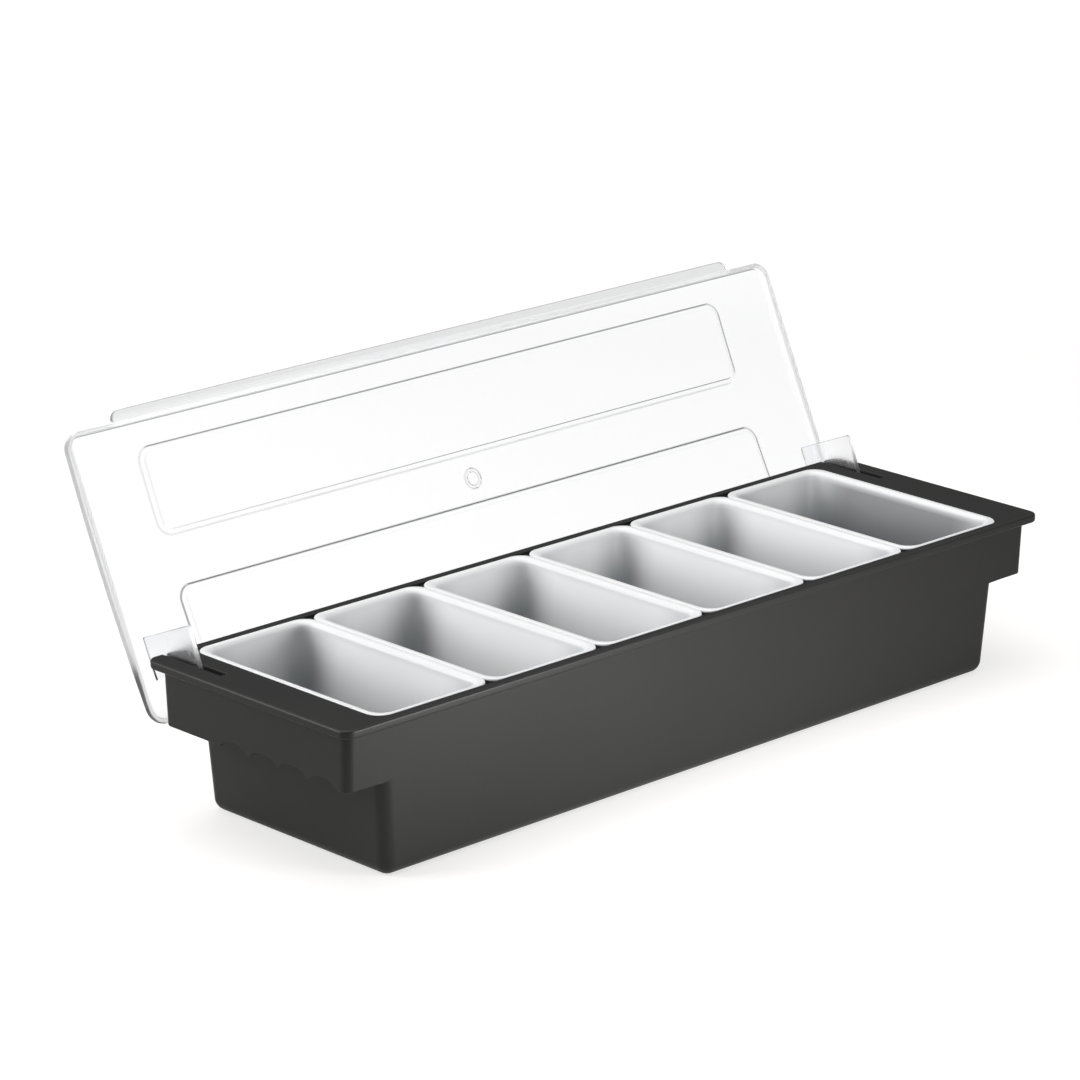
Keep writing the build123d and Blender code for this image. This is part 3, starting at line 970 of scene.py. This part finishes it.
def markEdges(mesh, form, shades, grip, fin):
    # a painted shade for the light that the edges bend away runs along the panels' steps, the
    # gate's ring, the crown's edge, the free rim, the fins' tops and the grip's edge; softEdge is
    # on the free rim, the sides and the fins' front edges, which are less polished than the rest
    x, v, n = ((meshPoints(mesh) - lidOrigin) @ lidAxes.T).T
    wall, width, edge = form["wall"], form["width"], form["edgeRadius"]
    below = n - crownDepth(v, form)
    inner = below - lidRelief(x, v, form, 0.0) > wall / 2
    line = np.zeros_like(x)
    for inside, outerLine in zip(insidePanels(x, v, form), reversed(shades["outerLines"])):
        step = nearLine(inside - np.where(inner, form["panelInnerInset"], 0.0), shades["lineWidth"])
        line = np.maximum(line, step * np.where(inner, shades["innerLine"], outerLine))
    reach = np.hypot(x, v - form["gatePlace"])
    for radius in (form["gateRadius"], form["gateNub"]):
        ring = nearLine(reach - radius, form["gateSlope"])
        line = np.maximum(line, np.where(inner, 0.0, ring * shades["gateLine"]))
    inside = roundedDistance(x, v, form["length"] / 2, 0.0, width, form["cornerRadius"])
    crest = nearLine(inside, edge) * nearLine(below, edge) * shades["crestLine"]
    freeEdge = nearLine(n, 2 * form["rimRadius"]) * (np.abs(inside) < 2 * wall)
    rooted = (v > width - 2 * wall) & (np.abs(x) < grip["length"] / 2)
    rim = freeEdge * shades["rimLine"] * np.where(rooted, shades["gripRoot"], 1.0)
    onShell = v < width + shades["gripStart"]
    line = np.maximum(line, np.where(onShell, np.maximum(crest, rim), 0.0))
    finTop = nearLine(v - fin["high"] + fin["slant"] * n / fin["depth"], shades["finWidth"])
    onFin = below > wall + shades["finStart"]
    line = np.maximum(line, np.where(onFin, finTop * shades["finLine"], 0.0))
    gripFront = width + grip["width"]
    gripEdge = roundedDistance(x, v, grip["length"] / 2, 0.0, gripFront, grip["cornerRadius"])
    gripLine = nearLine(gripEdge, shades["gripWidth"]) * shades["gripLine"]
    # painted shade along the edges, for the material's colour
    keepOnPoints(mesh, "edgeShade", np.where(onShell, line, gripLine))
    finFront = smoothStep((n - fin["depth"] + shades["softReach"]) / shades["softBlend"])
    sideFace = smoothStep(shades["sideReach"] - inside / edge)
    softRim = np.maximum(freeEdge, sideFace) * onShell * shades["softRim"]
    keepOnPoints(mesh, "softEdge", np.maximum(finFront, softRim))


lid = helperPiece("lidClear", toFrame(shellPoints), shellFaces)
additions = helperPiece("grip", *makeGrip(lidForm, gripForm))
for side in (-1, 1):
    fin = helperPiece("fin", *makeFin(side, lidForm, finForm))
    combine(fin, helperPiece("pinHole", *makePinHole(side, lidForm, finForm)), "DIFFERENCE")
    combine(additions, fin, "UNION")
combine(lid, additions, "UNION")
markEdges(lid.data, lidForm, lidEdgeShades, gripForm, finForm)
lid.data.shade_smooth()
lid.data.set_sharp_from_angle(angle=math.radians(smoothAngle))
lid.data.materials.clear()
lid.data.materials.append(lidMaterial)
evening = lid.modifiers.new("evenNormals", "WEIGHTED_NORMAL")
evening.keep_sharp = True
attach(lid, "lid")
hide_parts("lid")
print("lid made:", len(lid.data.polygons), "faces")

# Pins: the frame's own, in the lid's clear plastic

for name in ("hinge_pin_left", "hinge_pin_right"):
    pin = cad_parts[name]
    pin.data.materials.clear()
    pin.data.materials.append(pinMaterial)

# Studio


def lookedAt(tree):
    # 1 where the eye looks straight or through clear plastic, 0 in reflections and for scattered
    # light
    path = tree.nodes.new("ShaderNodeLightPath").outputs
    throughPlastic = maths(tree, "GREATER_THAN", path["Transmission Depth"], anyDepth)
    return maths(tree, "MAXIMUM", path["Is Camera Ray"], throughPlastic)


def distanceFrom(tree, point):
    # how far each point of a surface is from a place
    place = tree.nodes.new("ShaderNodeTexCoord")
    away = tree.nodes.new("ShaderNodeVectorMath")
    away.operation = "DISTANCE"
    away.inputs[1].default_value = point
    tree.links.new(place.outputs["Object"], away.inputs[0])
    return away.outputs["Value"]


def makeFloor():
    # a glowing white table, as a lit-through one is: full near the object and dimmer far away
    half = studio["floorSize"] / 2
    corners = [(-half, -half, 0), (half, -half, 0), (half, half, 0), (-half, half, 0)]
    mesh = bpy.data.meshes.new("floor")
    mesh.from_pydata(corners, [], [(0, 1, 2, 3)])
    floor = linked("floor", mesh)
    material, tree, shader = newMaterial("floorWhite")
    shader.inputs["Base Color"].default_value = studio["floorColor"]
    shader.inputs["Roughness"].default_value = studio["floorRoughness"]
    shader.inputs["Specular IOR Level"].default_value = 0.0
    shader.inputs["Emission Color"].default_value = (1.0, 1.0, 1.0, 1.0)
    middle = distanceFrom(tree, (0.0, 0.0, 0.0))
    rise, fade = (mapRange(tree, middle, *studio[k]) for k in ("floorGlow", "floorFade"))
    glow = maths(tree, "MULTIPLY", rise, fade)
    away = distanceFrom(tree, studio["poolPlace"])
    pool = mapRange(tree, away, *studio["poolReach"], *studio["poolLevels"])
    seen = maths(tree, "MAXIMUM", pool, lookedAt(tree))
    tree.links.new(maths(tree, "MULTIPLY", glow, seen), shader.inputs["Emission Strength"])
    mesh.materials.append(material)


def makeSoftLight(name, place, size, power):
    # a round soft light turned to the object, which the eye doesn't see itself
    light = bpy.data.lights.new(name, "AREA")
    light.shape = "DISK"
    light.size = size
    light.energy = power
    lamp = linked(name, light)
    lamp.location = place
    lamp.rotation_euler = (Vector((0, 0, 0)) - Vector(place)).to_track_quat("-Z", "Y").to_euler()
    lamp.visible_camera = lamp.visible_transmission = False


def makeWorld():
    # a dim room round the white table, bright overhead
    world = bpy.data.worlds.new("studioRoom")
    world.use_nodes = True
    tree = world.node_tree
    place = tree.nodes.new("ShaderNodeTexCoord")
    parts = tree.nodes.new("ShaderNodeSeparateXYZ")
    tree.links.new(place.outputs["Generated"], parts.inputs["Vector"])
    reflected, seen = (
        colorSteps(tree, parts.outputs["Z"], [(up, (level,) * 3) for up, level in studio[room]])
        for room in ("roomReflected", "roomSeen")
    )
    light = blendColors(tree, lookedAt(tree), reflected, seen)
    tree.links.new(light, tree.nodes["Background"].inputs["Color"])
    bpy.context.scene.world = world


def makeCamera():
    # set back from the aim along its azimuth and elevation, then slid and lifted as it faces
    azimuth, elevation = math.radians(cameraView["azimuth"]), math.radians(cameraView["elevation"])
    back = Vector((
        math.sin(azimuth) * math.cos(elevation),
        -math.cos(azimuth) * math.cos(elevation),
        math.sin(elevation),
    ))
    right = Vector((math.cos(azimuth), math.sin(azimuth), 0))
    up = back.cross(right)
    place = Vector((0, 0, cameraView["aimHeight"])) + back * cameraView["distance"]
    place += right * cameraView["slide"] + up * cameraView["lift"]
    lens = bpy.data.cameras.new("photoView")
    lens.sensor_width = cameraView["sensorWidth"]
    lens.lens = cameraView["lens"]
    camera = linked("photoView", lens)
    facing = Matrix((right, up, back)).transposed().to_4x4()
    camera.matrix_world = Matrix.Translation(place) @ facing
    bpy.context.scene.camera = camera


makeFloor()
for name, (place, size, power) in studio["lights"].items():
    makeSoftLight(name, place, size, power)
makeWorld()
makeCamera()
bpy.context.scene.view_settings.view_transform = "Standard"
print("studio made")
